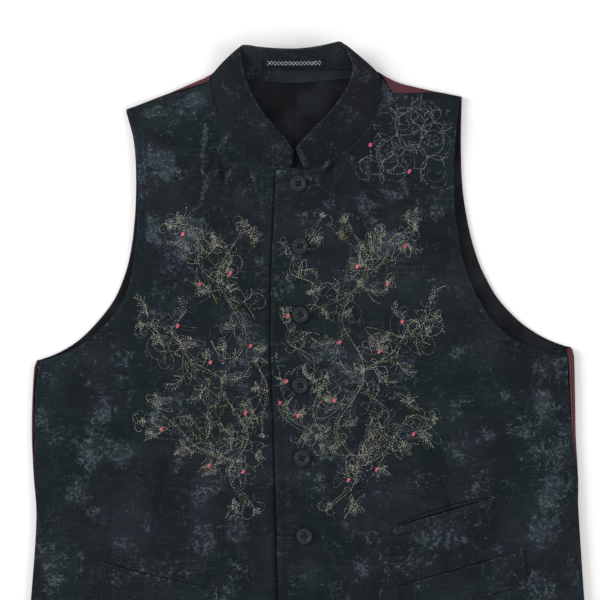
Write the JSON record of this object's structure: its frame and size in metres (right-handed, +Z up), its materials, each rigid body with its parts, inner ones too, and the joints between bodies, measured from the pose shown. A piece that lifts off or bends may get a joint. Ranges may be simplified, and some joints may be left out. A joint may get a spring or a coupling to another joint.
{
  "type": "waistcoat",
  "caption": "Sleeveless waistcoat with a stand collar, buttoned front and slanted pockets, laid flat on its back.",
  "frame": {"origin": "on the surface it lies on, under the middle of its bounding box", "axes": "+X to the right looking down on the front, which is the wearer's left; +Y towards the neck; +Z up, out of the front"},
  "size_m": [0.5544, 0.6433, 0.0314],
  "materials": {
    "worn_twill": "dull worn twill",
    "striped_back": "fine striped satin weave",
    "lining": "soft satin",
    "collar_twill": "dull twill",
    "label": "woven satin",
    "button": "horn-like, half polished"
  },
  "bodies": {
    "root": {"front_left": "worn_twill", "front_right": "worn_twill", "back": "striped_back", "lining_left": "lining", "lining_right": "lining", "neck_facing": "collar_twill", "collar": "collar_twill", "label": "label", "welt_upper": "worn_twill", "welt_lower_left": "worn_twill", "welt_lower_right": "worn_twill", "button_1": "button", "button_2": "button", "button_3": "button", "button_4": "button", "button_5": "button", "button_6": "button", "button_7": "button"}
  },
  "joints": []
}
